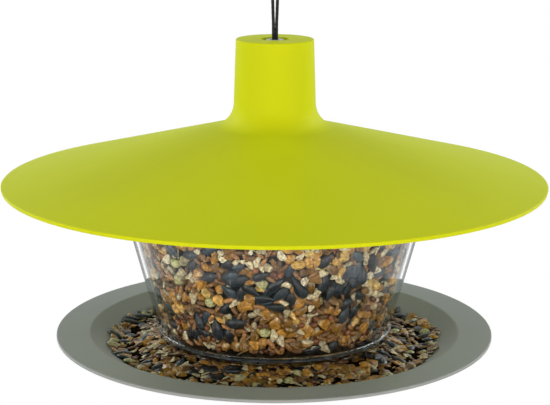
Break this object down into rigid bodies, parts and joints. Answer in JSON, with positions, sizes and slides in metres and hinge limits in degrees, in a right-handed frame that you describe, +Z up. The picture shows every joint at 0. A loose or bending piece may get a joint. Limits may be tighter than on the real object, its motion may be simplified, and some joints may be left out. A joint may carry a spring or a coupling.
{
  "type": "hanging bird feeder",
  "caption": "Hanging seed feeder: a wide conical roof over a clear tapered hopper standing in a round tray, carried by a cord through a centre tube.",
  "frame": {"origin": "inside top of the hanging loop, where a hook carries the feeder", "axes": "+Z up, along the cord and the feeder's axis of revolution; +X and +Y level, with the cord's strands side by side along X"},
  "size_m": [0.3098, 0.3098, 0.2905],
  "materials": {
    "lime_plastic": "fine satin moulded polypropylene",
    "clear_plastic": "clear polished moulded plastic",
    "grey_plastic": "fine satin moulded polypropylene",
    "washer_steel": "stamped",
    "black_cord": "braided",
    "seed_mix": "loose seed"
  },
  "bodies": {
    "tray": {"feed_tray": "grey_plastic", "centre_tube": "grey_plastic", "knot_washer": "washer_steel", "stopper_knot": "black_cord", "cord_legs": "black_cord", "hanging_loop": "black_cord", "tray_seed": "seed_mix"},
    "hopper": {"seed_hopper": "clear_plastic", "hopper_seed": "seed_mix"},
    "roof": {"roof_shell": "lime_plastic"}
  },
  "joints": [
    {"name": "hopper_lift", "type": "slide", "parent": "tray", "child": "hopper", "axis": [0, 0, 1], "range_m": [0, 0.02]},
    {"name": "roof_lift", "type": "slide", "parent": "hopper", "child": "roof", "axis": [0, 0, 1], "range_m": [0, 0.07]}
  ]
}
